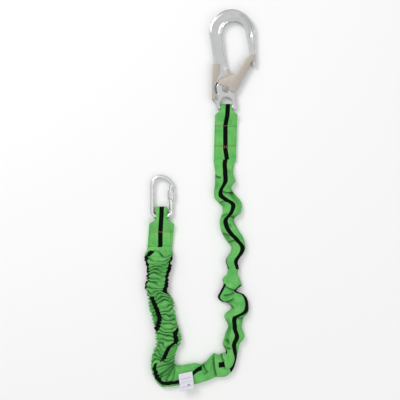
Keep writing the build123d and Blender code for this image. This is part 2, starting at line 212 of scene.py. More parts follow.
# metals: one routine, with the finish of each in its own line; grain and waveScale are so many to
# the metre, so 60 is one in 17 mm
finishes = {
    # die-forged aluminium, tumbled and polished: bright, with soft waves left by the polishing wheel
    "polishedForging": {"colour": "d8d9da", "rough": (0.09, 0.22), "grain": 60, "wave": 0.5, "waveScale": 22},
    # pressed sheet steel, dull zinc plate with a warm tone: satin, slightly mottled
    "satinZincSheet": {"colour": "c4bcb2", "rough": (0.34, 0.48), "grain": 380, "wave": 0.35, "waveScale": 60,
                       # painted shade for the sheet's upright faces
                       "edgeShade": "3a3835"},
    # drawn steel bar, bright zinc plate
    "brightZincBar": {"colour": "eceeed", "rough": (0.12, 0.26), "grain": 160, "wave": 0.3, "waveScale": 90},
    # turned pin steel
    "turnedPin": {"colour": "a9a8a6", "rough": (0.25, 0.38), "grain": 300, "wave": 0.2, "waveScale": 120},
    # oiled spring wire
    "springWire": {"colour": "4a4a4c", "rough": (0.30, 0.42), "grain": 300, "wave": 0.1, "waveScale": 200},
}


def metal(name):
    finish = finishes[name]
    material, tree, shader = newMaterial(name, {"Metallic": 1.0})
    place = addNode(tree, "ShaderNodeTexCoord")
    grain = addNode(tree, "ShaderNodeTexNoise", values={
        "Scale": finish["grain"], "Detail": 5.0, "Roughness": 0.6}, links={"Vector": place.outputs["Object"]})
    smoothest, roughest = finish["rough"]
    rough = addNode(tree, "ShaderNodeMapRange", values={
        "From Min": 0.3, "From Max": 0.7, "To Min": smoothest, "To Max": roughest},
        links={"Value": grain.outputs["Fac"]})
    tree.links.new(rough.outputs[0], shader.inputs["Roughness"])
    tone = linear(finish["colour"])
    worn = tuple(c * 0.82 for c in tone[:3]) + (1.0,)
    tint = addNode(tree, "ShaderNodeMix", {"data_type": "RGBA"}, {6: worn, 7: tone},
                   {0: grain.outputs["Fac"]})
    if finish.get("edgeShade"):
        # painted shade: every face that stands up from the sheet is darkened, standing in for the shadow
        # along the plate's edges
        edge = addNode(tree, "ShaderNodeAttribute", {"attribute_name": "cutEdge"})
        tint = addNode(tree, "ShaderNodeMix", {"data_type": "RGBA"}, {7: linear(finish["edgeShade"])},
                       {0: edge.outputs["Fac"], 6: tint.outputs[2]})
    tree.links.new(tint.outputs[2], shader.inputs["Base Color"])
    swell = addNode(tree, "ShaderNodeTexNoise", values={"Scale": finish["waveScale"], "Detail": 1.0},
                    links={"Vector": place.outputs["Object"]})
    soft = addNode(tree, "ShaderNodeBump", values={"Strength": finish["wave"], "Distance": 0.8 * mm},
                   links={"Height": swell.outputs["Fac"]})
    fine = addNode(tree, "ShaderNodeBump", values={"Strength": 0.12, "Distance": 0.05 * mm},
                   links={"Height": grain.outputs["Fac"], "Normal": soft.outputs[0]})
    tree.links.new(fine.outputs[0], shader.inputs["Normal"])
    return material


def plainCloth(name, hexCode, roughness, grainScale):
    # thread, strap and cord of one colour, mottled finely; grainScale is so many to the metre
    material, tree, shader = newMaterial(name, {
        "Roughness": roughness, "Sheen Weight": 0.2, "Specular IOR Level": 0.3})
    place = addNode(tree, "ShaderNodeTexCoord")
    grain = addNode(tree, "ShaderNodeTexNoise", values={"Scale": grainScale, "Detail": 4.0},
                    links={"Vector": place.outputs["Object"]})
    tone = linear(hexCode)
    dark = tuple(c * 0.7 for c in tone[:3]) + (1.0,)
    tint = addNode(tree, "ShaderNodeMix", {"data_type": "RGBA"}, {6: dark, 7: tone},
                   {0: grain.outputs["Fac"]})
    tree.links.new(tint.outputs[2], shader.inputs["Base Color"])
    bump = addNode(tree, "ShaderNodeBump", values={"Strength": 0.3, "Distance": 0.2 * mm},
                   links={"Height": grain.outputs["Fac"]})
    tree.links.new(bump.outputs[0], shader.inputs["Normal"])
    return material


tape = wovenWebbing()
forging = metal("polishedForging")
sheetMetal = metal("satinZincSheet")
barMetal = metal("brightZincBar")
pinMetal = metal("turnedPin")
springMetal = metal("springWire")
# filament polyester thread, twisted and bonded, tan for the bar seams and green for the long ones
threads = {"tan": plainCloth("tanPolyesterThread", "d9b07a", 0.6, 2500),
           "green": plainCloth("greenPolyesterThread", "58a94f", 0.6, 2500)}
# load strap, woven from undyed polyester
coreCloth = plainCloth("undyedPolyesterStrap", "d8d2bd", 0.8, 900)
# rubber strands braided over with black polyester
elasticCord = plainCloth("blackElasticCord", "1c1c1e", 0.85, 900)
print("materials ready")

# rigid nodes: each one's material, and in mm how far its edges are broken, as tumbling or pressing does
rigidFinish = {
    "hook_gate": (sheetMetal, 0.7), "hook_lever": (sheetMetal, 0.6),
    "hook_gate_rivet": (pinMetal, 0.3), "hook_lever_rivet": (pinMetal, 0.3),
    "hook_guide_pin": (pinMetal, 0.2), "karabiner_frame": (barMetal, 0.3),
    "karabiner_gate": (barMetal, 0.3), "karabiner_sleeve": (barMetal, 0.25),
    "karabiner_hinge_pin": (pinMetal, 0.15), "karabiner_latch_pin": (pinMetal, 0.15),
}
# CAD nodes shown as they are, or replaced further down
keptFinish = {"karabiner_plunger": pinMetal, "hook_gate_spring": pinMetal,
              "karabiner_gate_spring": springMetal, "absorber_core": coreCloth,
              "elastic_cords": elasticCord}
bodyOf = {node: body for body, nodes in frame["record"]["behaviour"]["bodies"].items() for node in nodes}


def brokenEdges(node, radius):
    # a merged copy of a CAD node with its sharp edges rounded by radius mm
    source = frame["nodes"][node]
    mesh = source.data.copy()
    work = bmesh.new()
    work.from_mesh(mesh)
    work.transform(source.matrix_world)
    bmesh.ops.remove_doubles(work, verts=work.verts, dist=0.004 * mm)
    bmesh.ops.dissolve_limit(work, angle_limit=math.radians(0.8), verts=work.verts, edges=work.edges)
    sharp = [e for e in work.edges if len(e.link_faces) == 2 and e.calc_face_angle(0) > math.radians(32)]
    bmesh.ops.bevel(work, geom=sharp, offset=radius * mm, segments=3, profile=0.5, affect="EDGES",
                    clamp_overlap=True)
    return mesh, work


def softenEdges(node, material, radius):
    mesh, work = brokenEdges(node, radius)
    mesh.name = node + "_finished"
    bmesh.ops.triangulate(work, faces=[f for f in work.faces if len(f.verts) > 4])
    for edge in work.edges:
        edge.smooth = edge.calc_face_angle(0) < math.radians(35)
    # faces that stand up from the sheet are its cut edges; they get the painted edge shade
    edgeShade = [1.0 if abs(face.normal.z) < 0.35 else 0.0 for face in work.faces]
    work.to_mesh(mesh)
    work.free()
    mesh.attributes.new("cutEdge", "FLOAT", "FACE").data.foreach_set("value", edgeShade)
    piece = addObject(node + "_finished", mesh, material)
    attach(piece, bodyOf[node])
    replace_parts(piece, node)
    return piece


for node, (material, radius) in rigidFinish.items():
    softenEdges(node, material, radius)


def buildLeverSpring():
    source = frame["nodes"]["hook_lever_spring"]
    mesh = source.data.copy()
    mesh.transform(source.matrix_world)
    piece = addObject("lever_spring", mesh, springMetal)
    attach(piece, "hook")
    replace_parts(piece, "hook_lever_spring")
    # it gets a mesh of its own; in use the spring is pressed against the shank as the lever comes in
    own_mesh(piece)


buildLeverSpring()

# the forging: raised rims with a sunk face between them, and a crowned bow, all blended as a die
# leaves them, from a height up the hook that is given in metres
hookForging = {"voxel": 0.9 * mm, "rim": 4.2 * mm, "blend": 2.6 * mm, "sunk": 1.7 * mm, "crown": 2.2 * mm,
               "crownReach": 9 * mm, "from": 0.302, "blendUp": 0.02}


def forgeHook():
    spec = hookForging
    source = frame["nodes"]["hook_body"]
    mesh = source.data.copy()
    mesh.transform(source.matrix_world)
    piece = addObject("hook_forging", mesh, forging)
    remesh = piece.modifiers.new("remesh", "REMESH")
    remesh.mode = "VOXEL"
    remesh.voxel_size = spec["voxel"]
    smooth = piece.modifiers.new("smooth", "SMOOTH")
    smooth.factor = 0.5
    smooth.iterations = 4
    bakeModifiers(piece)
    mesh = piece.data
    count = len(mesh.vertices)
    place, normal = np.empty(count * 3), np.empty(count * 3)
    mesh.vertices.foreach_get("co", place)
    mesh.vertices.foreach_get("normal", normal)
    place, normal = place.reshape(-1, 3), normal.reshape(-1, 3)
    walls = place[np.abs(normal[:, 2]) < 0.5]
    tree = kdtree.KDTree(len(walls))
    for i, wall in enumerate(walls):
        tree.insert((wall[0], wall[1], 0), i)
    tree.balance()
    for i in np.nonzero(np.abs(normal[:, 2]) > 0.5)[0]:
        x, y, z = place[i]
        inward = tree.find((x, y, 0))[2]
        above = min(max((y - spec["from"]) / spec["blendUp"], 0), 1)
        sink = min(max((inward - spec["rim"]) / spec["blend"], 0), 1)
        sink = spec["sunk"] * sink * sink * (3 - 2 * sink)
        rounding = max(0.0, 1 - inward / spec["crownReach"])
        place[i, 2] -= math.copysign(above * (sink + spec["crown"] * rounding ** 2.2), normal[i, 2])
    mesh.vertices.foreach_set("co", place.ravel())
    again = piece.modifiers.new("smooth", "SMOOTH")
    again.factor = 0.5
    again.iterations = 2
    bakeModifiers(piece)
    piece.data.polygons.foreach_set("use_smooth", [True] * len(piece.data.polygons))
    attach(piece, "hook")
    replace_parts(piece, "hook_body")


forgeHook()

# a thin ring covers the gate's spring on each face, so that none of it shows below the gate; in mm,
# with heights from the hook's middle plane
springCover = {"at": (63.5, 269.0), "middle": 9.2, "outer": 8.2, "inner": 4.15, "low": 4.7, "high": 5.3,
               "bevelOut": 0.3, "bevelUp": 0.15, "steps": 64}


def buildSpringCovers():
    spec = springCover
    middleX, middleY = spec["at"]
    steps = spec["steps"]
    section = ((spec["outer"], spec["low"]), (spec["outer"], spec["high"] - spec["bevelUp"]),
               (spec["outer"] - spec["bevelOut"], spec["high"]), (spec["inner"], spec["high"]),
               (spec["inner"], spec["low"]))
    work = bmesh.new()
    for way in (1, -1):
        rings = []
        for radius, height in section:
            ring = []
            for k in range(steps):
                turn = math.tau * k / steps
                place = (middleX + radius * math.cos(turn), middleY + radius * math.sin(turn),
                         spec["middle"] + way * height)
                ring.append(work.verts.new([c * mm for c in place]))
            rings.append(ring)
        for ring, following in zip(rings, rings[1:] + rings[:1]):
            for k in range(steps):
                n = (k + 1) % steps
                work.faces.new((ring[k], ring[n], following[n], following[k]))
    bmesh.ops.recalc_face_normals(work, faces=work.faces)
    mesh = bpy.data.meshes.new("springCovers")
    work.to_mesh(mesh)
    work.free()
    piece = addObject("spring_covers", mesh, forging, False)
    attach(piece, "hook")


buildSpringCovers()
for node, material in keptFinish.items():
    frame["nodes"][node].data.materials.clear()
    frame["nodes"][node].data.materials.append(material)
print("metal ready")

# the jacket: one woven tube, drawn together by the elastic inside it
# its route, in mm, the control points of a smooth line
jacketRoute = (
    (-98, -120), (-98, -156), (-99, -194), (-104, -230), (-97, -264), (-84, -296), (-77, -330),
    (-87, -370), (-84, -404), (-56, -426), (-18, -421), (28, -406), (58, -388), (75, -359),
    (81, -324), (84, -289), (89, -256), (77, -227), (73, -195), (77, -163), (88, -133), (87, -104),
    (75, -78), (67, -50), (73, -20), (62, 8), (56, 38), (60, 66), (60, 92),
)
# the jacket's outline, one row for each bulge and waist: outer edge x, y, inner edge x, y in mm,
# and where the tracer lies across the tube (0 or 2 in the middle on top, 1 or 3 at the edges,
# 9 tucked out of sight)
jacketRows = (
    (-127, -114, -68, -114, 0.0), (-128, -122, -68, -121, 0.5), (-134, -140, -69, -138, 0.9),
    (-127, -168, -72, -166, 1.05), (-128, -190, -77, -188, 1.05), (-132, -210, -78, -208, 1.1),
    (-129, -222, -79, -218, 1.25), (-124, -234, -72, -231, 0.75), (-123, -254, -65, -248, 0.5),
    (-117, -277, -63, -272, 0.35), (-110, -304, -55, -300, 0.7), (-106, -330, -48, -323, 1.4),
    (-103, -344, -46, -338, 1.4), (-109, -360, -55, -354, 1.75), (-117, -385, -62, -378, 1.9),
    (-117, -405, -62, -389, 2.7), (-108, -433, -62, -396, 2.75), (-94, -450, -60, -398, 2.7),
    (-76, -451, -53, -400, 2.6), (-46, -448, -36, -399, 2.55), (-16, -447, -14, -395, 1.8),
    (8, -440, 5, -397, 1.35), (18, -437, 10, -394, 9), (38, -428, 34, -371, 9),
    (45, -428, 43, -375, 1.85), (64, -426, 54, -371, 1.9), (76, -416, 62, -369, 2.8),
    (87, -390, 62, -363, 3.0), (91, -370, 57, -354, 2.6), (95, -352, 55, -346, 2.35),
    (108, -330, 61, -324, 2.2), (101, -308, 68, -306, 1.95), (104, -288, 59, -280, 2.1),
    (118, -266, 76, -260, 2.7), (117, -250, 68, -250, 2.9), (106, -228, 43, -236, 3.0),
    (88, -220, 49, -222, 3.0), (101, -205, 57, -202, 3.0), (97, -192, 54, -193, 9),
    (91, -177, 66, -177, 9), (94, -168, 67, -168, 2.85), (92, -148, 63, -144, 2.7),
    (110, -114, 76, -114, 2.55), (106, -95, 66, -101, 2.2), (87, -62, 51, -73, 1.85),
    (82, -47, 48, -52, 1.8), (100, -28, 53, -36, 1.9), (101, -9, 54, -16, 2.1),
    (87, 11, 47, -8, 1.85), (76, 27, 35, 6, 1.7), (86, 46, 36, 42, 2.0),
    (80, 66, 37, 64, 2.1), (83, 87, 34, 87, 2.05), (87, 98, 33, 98, 2.05),
)
# creases: from x, y to x, y and how deep, all in mm
jacketCreases = (
    (53, 22, 80, 19, 5.0), (36, 62, 51, 55, 5.0), (46, -8, 62, -2, 3.5), (84, -46, 69, -41, 5.0),
    (47, -41, 77, -31, 3.0), (66, -56, 76, -64, 3.0), (52, -80, 73, -87, 3.5), (68, -101, 92, -97, 4.0),
    (60, -206, 90, -218, 4.5), (57, -229, 82, -222, 5.0), (57, -246, 81, -236, 5.5),
    (73, -252, 82, -262, 4.0), (81, -279, 112, -284, 6.0), (64, -335, 71, -347, 3.5),
    (56, -350, 74, -357, 5.0), (53, -370, 59, -388, 5.0), (57, -387, 62, -407, 5.0),
    (34, -374, 41, -428, 7.5), (9, -396, 20, -415, 6.0), (20, -415, 8, -419, 3.5),
    (-61, -399, -84, -449, 5.5), (-62, -397, -98, -428, 4.5), (-60, -400, -67, -441, 3.5),
    (-64, -394, -106, -405, 4.5),
)
# reach: how far ahead a row looks for its ring; edgeHeight: the share of its height at which the
# tube's edge lies; leap: a tracer that moves across faster than this is inside a fold
jacket = {"rings": 980, "around": 84, "reach": 60, "midZ": 12 * mm, "topGathered": 23.5 * mm,
          "topLoose": 19 * mm, "topFlat": 9.0 * mm, "floorGap": 0.4 * mm, "edgeHeight": 0.42,
          "settle": (11 * mm, 28 * mm), "diameter": 0.062, "halfTape": 27 * mm, "square": 0.86, "leap": 75,
          "gatheredUntil": 330 * mm, "gatheredFade": 40 * mm, "unevenness": 60, "seed": 11.7}
# the gathered stretch: rolls across the tube, which fork, lap over each other and wrinkle finely
gathers = {"pitch": 10.0 * mm, "depth": 7.2 * mm, "lap": 3.2 * mm, "middle": 0.6, "wander": 7.5,
           "drift": 7.0, "twist": 1.4, "twists": 30, "wrinkle": 1.4 * mm, "wrinklesPerRoll": 1.9}
# the loose stretch: broad panels that tilt to and fro, dented and crumpled
panels = {"pitch": 46 * mm, "tilt": 4.2 * mm, "dent": 2.6 * mm, "crumple": 1.2 * mm}
# a crease's bow, how sharply it steps, how far its swelling reaches, and its painted shade on either side;
# creases deeper than bowsLeftOver, in mm, bow one way and the others bow the other way
creaseLook = {"bow": 2.0 * mm, "bowsLeftOver": 4, "step": 0.9 * mm, "reach": 8 * mm,
              "shadeUnder": 3.8 * mm, "shadeOver": 0.7 * mm, "fade": 0.12, "fullShade": 4.5}


def routePoints(route, height):
    curve = bpy.data.curves.new("route", "CURVE")
    curve.dimensions = "3D"
    spline = curve.splines.new("NURBS")
    spline.points.add(len(route) - 1)
    for point, row in zip(spline.points, route):
        point.co = (row[0] * mm, row[1] * mm, height, 1)
    spline.order_u = 3
    spline.use_endpoint_u = True
    spline.resolution_u = 12
    holder = bpy.data.objects.new("route", curve)
    collection.objects.link(holder)
    bpy.context.view_layer.update()
    graph = bpy.context.evaluated_depsgraph_get()
    line = bpy.data.meshes.new_from_object(holder.evaluated_get(graph))
    points = np.array([v.co[:] for v in line.vertices])
    bpy.data.objects.remove(holder)
    return points


def alongRoute(points, count):
    steps = np.linalg.norm(np.diff(points, axis=0), axis=1)
    reach = np.concatenate([[0.0], np.cumsum(steps)])
    places = np.linspace(0, reach[-1], count)
    spaced = np.stack([np.interp(places, reach, points[:, i]) for i in range(3)], axis=1)
    heading = np.gradient(spaced, axis=0)
    heading /= np.linalg.norm(heading, axis=1)[:, None]
    across = np.stack([heading[:, 1], -heading[:, 0], 0 * heading[:, 0]], axis=1)
    return spaced, heading, across, places


def throughPoints(at, values, wanted):
    # a smooth line through given values, with no overshoot at sudden changes
    at, values = np.array(at, float), np.array(values, float)
    slope = np.diff(values) / np.diff(at)
    bend = np.zeros(len(values))
    same = slope[:-1] * slope[1:] > 0
    bend[1:-1][same] = 2 / (1 / slope[:-1][same] + 1 / slope[1:][same])
    k = np.clip(np.searchsorted(at, wanted) - 1, 0, len(at) - 2)
    h = at[k + 1] - at[k]
    t = np.clip((wanted - at[k]) / h, 0, 1)
    return ((1 + 2 * t) * (1 - t) ** 2 * values[k] + t * (1 - t) ** 2 * h * bend[k]
            + t * t * (3 - 2 * t) * values[k + 1] + t * t * (t - 1) * h * bend[k + 1])


def noiseField(points):
    return np.array([noise.noise(p) for p in points])


def billow(phase):
    return np.abs(np.sin(phase / 2)) ** 0.8


def creaseShape(x, y):
    # one side of each crease laps over the other; painted shade darkens the tape on either side of the step,
    # wider on the lower side
    look = creaseLook
    lift, shade = np.zeros_like(x), np.zeros_like(x)
    for fromX, fromY, toX, toY, depth in jacketCreases:
        run = math.hypot(toX - fromX, toY - fromY) * mm
        alongX, alongY = (toX - fromX) * mm / run, (toY - fromY) * mm / run
        offX, offY = x - fromX * mm, y - fromY * mm
        t = (offX * alongX + offY * alongY) / run
        way = 1 if depth > look["bowsLeftOver"] else -1
        d = offY * alongX - offX * alongY + look["bow"] * np.sin(np.pi * np.clip(t, 0, 1)) * way
        fade = np.clip(np.minimum(t + look["fade"], 1 + look["fade"] - t) / (2 * look["fade"]), 0, 1)
        lift += fade * depth * mm * 0.5 * np.tanh(d / look["step"]) * np.exp(-np.abs(d) / look["reach"])
        near = np.exp(-np.abs(d) / np.where(d < 0, look["shadeUnder"], look["shadeOver"]))
        shade = np.maximum(shade, fade * min(depth / look["fullShade"], 1) * near)
    return lift, shade


def setPointValues(mesh, name, values):
    layer = mesh.attributes.new(name, "FLOAT", "POINT")
    layer.data.foreach_set("value", np.ascontiguousarray(values, dtype=np.float32).ravel())


def faceOutwards(mesh):
    work = bmesh.new()
    work.from_mesh(mesh)
    bmesh.ops.recalc_face_normals(work, faces=work.faces)
    work.to_mesh(mesh)
    work.free()


def tubeFaces(rings, around):
    faces = []
    for i in range(rings - 1):
        for k in range(around):
            n = (k + 1) % around
            faces.append((i * around + k, i * around + n, (i + 1) * around + n, (i + 1) * around + k))
    return faces


def sweepFlat(name, line, across, half, halfThick, height, material):
    # a closed flat tube along a line, half wide at each of its points
    around = 12
    angle = np.arange(around) * math.tau / around
    rings = len(line)
    verts = line[:, None, :] + across[:, None, :] * (half[:, None] * np.cos(angle))[..., None]
    verts[..., 2] = height + halfThick * np.sin(angle)
    faces = tubeFaces(rings, around)
    faces += [tuple(range(around)), tuple(range(rings * around - 1, (rings - 1) * around - 1, -1))]
    mesh = bpy.data.meshes.new(name)
    mesh.from_pydata(verts.reshape(-1, 3).tolist(), [], faces)
    piece = addObject(name, mesh, material)
    faceOutwards(mesh)
    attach(piece, "lanyard")
    return piece


def rowReaches(centre, heading, across, places):
    # every row's edges become reaches from the route, so the tube follows it
    at, reaches, last = [], [], -1
    for outerX, outerY, innerX, innerY, tracerAt in jacketRows:
        outer, inner = np.array((outerX, outerY)) * mm, np.array((innerX, innerY)) * mm
        gaps = np.linalg.norm(centre[:, :2] - (outer + inner) / 2, axis=1)
        gaps[:last + 3] = np.inf
        gaps[last + jacket["reach"]:] = np.inf
        last = int(np.argmin(gaps))
        row = []
        for edge in (outer, inner):
            away = edge - centre[last, :2]
            row += [away @ across[last, :2], away @ heading[last, :2]]
        at.append(places[last])
        reaches.append(row + [tracerAt])
    reaches = np.array(reaches)
    return [throughPoints(at, reaches[:, i], places)[:, None] for i in range(5)]


def drawStrings(middle, across, half):
    # what draws the jacket together lies inside: the folded load strap and two elastic cords
    middle, across, half = middle[::5], across[::5], half[::5]
    strap = sweepFlat("core_strap", middle, across, half * 0.42, 1.5 * mm, 6.0 * mm, coreCloth)
    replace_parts(strap, "absorber_core")
    cords = []
    for name, way in (("elastic_outer", 0.55), ("elastic_inner", -0.55)):
        line = middle + across * (half * way)[:, None]
        cords.append(sweepFlat(name, line, across, 1.2 * mm + 0 * half, 1.2 * mm, 4.5 * mm, elasticCord))
    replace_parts(cords[0], "elastic_cords")
    return [strap, *cords]


def buildJacket():
    spec = jacket
    rings, around = spec["rings"], spec["around"]
    centre, heading, across, places = alongRoute(routePoints(jacketRoute, spec["midZ"]), rings)
    outerSide, outerAlong, innerSide, innerAlong, acrossAt = rowReaches(centre, heading, across, places)
    # where the tracer leaps from one place to another, a fold has swallowed it
    tucked = (np.abs(np.gradient(acrossAt[:, 0], places)) > spec["leap"]) | (acrossAt[:, 0] > 5)
    angle = (np.arange(around) * math.tau / around)[None, :]
    c, z = np.cos(angle), np.sin(angle)
    place = places[:, None] + 0 * angle
    gathered = np.clip((spec["gatheredUntil"] - place) / spec["gatheredFade"], 0, 1)
    # it lies flat where it goes into the sewn ends
    settle = np.clip(np.minimum(place / spec["settle"][0], (places[-1] - place) / spec["settle"][1]), 0, 1)
    settle = settle * settle * (3 - 2 * settle)
    # three scales of unevenness, read on a ring so that they meet at the seam
    grid = np.stack([place * spec["unevenness"], 1.1 * c + 0 * place, 1.1 * z + spec["seed"] + 0 * place],
                    axis=-1).reshape(-1, 3)
    warp = noiseField(grid).reshape(rings, around)
    coarse = noiseField(grid * (0.4, 0.8, 0.8) + (3, 5, 0)).reshape(rings, around)
    fine = noiseField(grid * (2.6, 2.2, 2.2) + (0, 9, 4)).reshape(rings, around)
    roll = (math.tau * place / gathers["pitch"] + gathers["wander"] * warp + gathers["drift"] * coarse
            + gathers["twist"] * np.sin(2 * angle + gathers["twists"] * place))
    height = billow(roll)
    swell = 0.75 + 0.9 * coarse
    gather = gathered * settle * gathers["depth"] * swell * (height - gathers["middle"])
    wrinkle = billow(gathers["wrinklesPerRoll"] * roll + 5 * fine) - gathers["middle"]
    gather += gathered * settle * gathers["wrinkle"] * wrinkle * np.abs(z)
    lap = gathered * settle * gathers["lap"] * np.sin(roll) * (0.3 + 0.7 * np.abs(z))
    tilt = panels["tilt"] * np.sin(math.tau * place / panels["pitch"] + 5 * coarse) * c
    panel = (1 - gathered) * settle * (tilt + panels["dent"] * warp + panels["crumple"] * fine)
    # the section: a flattened tube, whose edges lie below the middle of its height
    u = np.sign(c) * np.abs(c) ** spec["square"]
    width = (outerSide - innerSide) / 2
    side = (outerSide + innerSide) / 2 + width * u + gather * c
    along = (outerAlong + innerAlong) / 2 + (outerAlong - innerAlong) / 2 * u + lap
    full = gathered * spec["topGathered"] + (1 - gathered) * spec["topLoose"]
    tall = spec["topFlat"] + settle * (full - spec["topFlat"]) - spec["floorGap"]
    crown = np.abs(z) ** (0.75 + 0.15 * gathered)
    low = spec["edgeHeight"]
    rise = spec["floorGap"] + tall * (low + (1 - low) * crown) + (gather + panel) * crown
    under = spec["floorGap"] + tall * low * (1 - crown)
    x = centre[:, 0:1] + across[:, 0:1] * side + heading[:, 0:1] * along
    y = centre[:, 1:2] + across[:, 1:2] * side + heading[:, 1:2] * along
    lift, shade = creaseShape(x, y)
    up = np.where(z >= 0, rise + lift * np.clip(2 * crown, 0, 1), under)
    verts = np.stack([x, y, np.maximum(up, spec["floorGap"])], axis=-1).reshape(-1, 3)
    # painted shade, kept in the fold attribute: between the rolls, under the creases, and in patches of the
    # loose stretch where the coarse noise is low
    valley = gathered * settle * np.clip(1.35 - 2.6 * height, 0, 1) * np.clip(0.85 + 0.9 * warp, 0.2, 1)
    patchShade = (1 - gathered) * np.clip(-1.2 * coarse - 0.25, 0, 0.5)
    fold = np.clip(np.maximum(valley, shade) + patchShade, 0, 0.95)
    away = (np.where(z >= 0, u, 2 - u) - acrossAt) % 2
    tracer = np.minimum(away, 2 - away) * np.abs(width) + tucked[:, None]
    mesh = bpy.data.meshes.new("jacket")
    mesh.from_pydata(verts.tolist(), [], tubeFaces(rings, around))
    step, pace = 4 * spec["halfTape"] / around, places[1]
    k = np.tile(np.arange(around), rings - 1)[:, None] + np.array((0, 1, 1, 0))
    i = np.repeat(np.arange(rings - 1), around)[:, None] + np.array((0, 0, 1, 1))
    weave = mesh.uv_layers.new(name="weave")
    weave.data.foreach_set("uv", np.stack([k * step, i * pace], axis=-1).ravel())
    setPointValues(mesh, "tracer", tracer)
    setPointValues(mesh, "fold", fold)
    piece = addObject("jacket", mesh, tape)
    faceOutwards(mesh)
    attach(piece, "lanyard")
    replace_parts(piece, "jacket_gathered", "jacket_bottom", "jacket_loose")
    middle = (centre + across * (outerSide + innerSide) / 2 + heading * (outerAlong + innerAlong) / 2)
    inside = drawStrings(middle, across, np.abs(width[:, 0]))


buildJacket()
print("jacket ready")

# sewn ends: the same tape laid flat and folded round each bar, a little puckered by its seams
# stripe: where the tracer runs, as x, y in mm; seams: their y in mm
sewnEnds = {
    "hook_end": {"stripe": ((66, 90), (65, 100), (61.5, 123), (61.5, 181), (66, 205), (68, 240)),
                 "seams": (131, 179)},
    "karabiner_end": {"stripe": ((-96, -125), (-96, -80), (-93, -40), (-92, -10)), "seams": (-77, -112)},
}
# edge: how far its edges are rounded, in mm; grid: how far apart its points lie, across and along
sewnCloth = {"edge": 1.1, "grid": (1.6 * mm, 2.0 * mm), "seamHalf": 1.6 * mm, "seamShade": 0.35,
             "topFrom": 7 * mm, "pucker": 0.55 * mm, "puckers": (160, 45), "seamSink": 0.5 * mm}


def sewnEnd(node, spec):
    cloth = sewnCloth
    mesh, work = brokenEdges(node, cloth["edge"])
    low = Vector([min(v.co[i] for v in work.verts) for i in range(3)])
    high = Vector([max(v.co[i] for v in work.verts) for i in range(3)])
    for axis, pitch in enumerate(cloth["grid"]):
        for step in range(1, int((high[axis] - low[axis]) / pitch)):
            spot, normal = Vector(low), Vector((0, 0, 0))
            spot[axis] += step * pitch
            normal[axis] = 1
            everything = work.verts[:] + work.edges[:] + work.faces[:]
            bmesh.ops.bisect_plane(work, geom=everything, plane_co=spot, plane_no=normal)
    bmesh.ops.triangulate(work, faces=[f for f in work.faces if len(f.verts) > 4])
    work.normal_update()
    stripe = np.array(spec["stripe"]) * mm
    tracer, fold = [], []
    for v in work.verts:
        x, y = v.co.x, v.co.y
        tracer.append(abs(x - np.interp(y, stripe[:, 1], stripe[:, 0])))
        pull = max(math.exp(-((y - line * mm) / cloth["seamHalf"]) ** 2) for line in spec["seams"])
        # painted shade along each seam, carried in the fold attribute
        fold.append(cloth["seamShade"] * pull)
        if v.normal.z > 0.7 and v.co.z > cloth["topFrom"]:
            pucker = noise.noise(Vector((x * cloth["puckers"][0], y * cloth["puckers"][1], 2)))
            v.co.z += cloth["pucker"] * pucker - cloth["seamSink"] * pull
    weave = work.loops.layers.uv.new("weave")
    for face in work.faces:
        for loop in face.loops:
            loop[weave].uv = (loop.vert.co.x, loop.vert.co.y)
    work.to_mesh(mesh)
    work.free()
    setPointValues(mesh, "tracer", tracer)
    setPointValues(mesh, "fold", fold)
    piece = addObject(node + "_woven", mesh, tape)
    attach(piece, "lanyard")
    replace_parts(piece, node)


for node, spec in sewnEnds.items():
    sewnEnd(node, spec)
print("sewn ends ready")

# stitches: thread laid in short lengths along each seam
# rows: from x, y to x, y in mm; a seam's height is the flat tape's top
stitching = {
    "hook_end": {"thread": "tan", "rows": ((41, 179, 80, 180), (45, 131, 78, 130), (45, 127, 78, 126))},
    "karabiner_end": {"thread": "tan", "rows": (
        (-116, -77, -76, -78), (-122, -96, -106, -82), (-120, -108, -104, -112))},
    "along": {"thread": "green", "rows": (
        (38, 100, 38, 205), (85, 100, 85, 205), (-123, -112, -122, -45), (-72, -112, -70, -45))},
}
seam = {"height": 8.75 * mm, "pitch": 4.2 * mm, "length": 3.2 * mm, "radius": 0.5 * mm}


def stitchTree():
    tree = bpy.data.node_groups.new("stitches", "GeometryNodeTree")
    sockets = tree.interface
    sockets.new_socket("Geometry", in_out="INPUT", socket_type="NodeSocketGeometry")
    for name, kind in (("Pitch", "Float"), ("Length", "Float"), ("Radius", "Float"), ("Thread", "Material")):
        sockets.new_socket(name, in_out="INPUT", socket_type="NodeSocket" + kind)
    sockets.new_socket("Geometry", in_out="OUTPUT", socket_type="NodeSocketGeometry")
    given = addNode(tree, "NodeGroupInput").outputs
    spaced = addNode(tree, "GeometryNodeResampleCurve", {"mode": "LENGTH"},
                     links={"Curve": given["Geometry"], "Length": given["Pitch"]})
    bead = addNode(tree, "GeometryNodeMeshUVSphere", values={"Segments": 8, "Rings": 6, "Radius": 1.0})
    half = addNode(tree, "ShaderNodeMath", {"operation": "MULTIPLY"}, {1: 0.5}, {0: given["Length"]})
    size = addNode(tree, "ShaderNodeCombineXYZ", links={
        "X": given["Radius"], "Y": given["Radius"], "Z": half.outputs[0]})
    turn = addNode(tree, "FunctionNodeAlignRotationToVector", {"axis": "Z"},
                   links={"Vector": addNode(tree, "GeometryNodeInputTangent").outputs[0]})
    laid = addNode(tree, "GeometryNodeInstanceOnPoints", links={
        "Points": spaced.outputs[0], "Instance": bead.outputs["Mesh"],
        "Rotation": turn.outputs[0], "Scale": size.outputs[0]})
    whole = addNode(tree, "GeometryNodeRealizeInstances", links={0: laid.outputs[0]})
    dyed = addNode(tree, "GeometryNodeSetMaterial", links={
        "Geometry": whole.outputs[0], "Material": given["Thread"]})
    addNode(tree, "NodeGroupOutput", links={0: dyed.outputs[0]})
    return tree


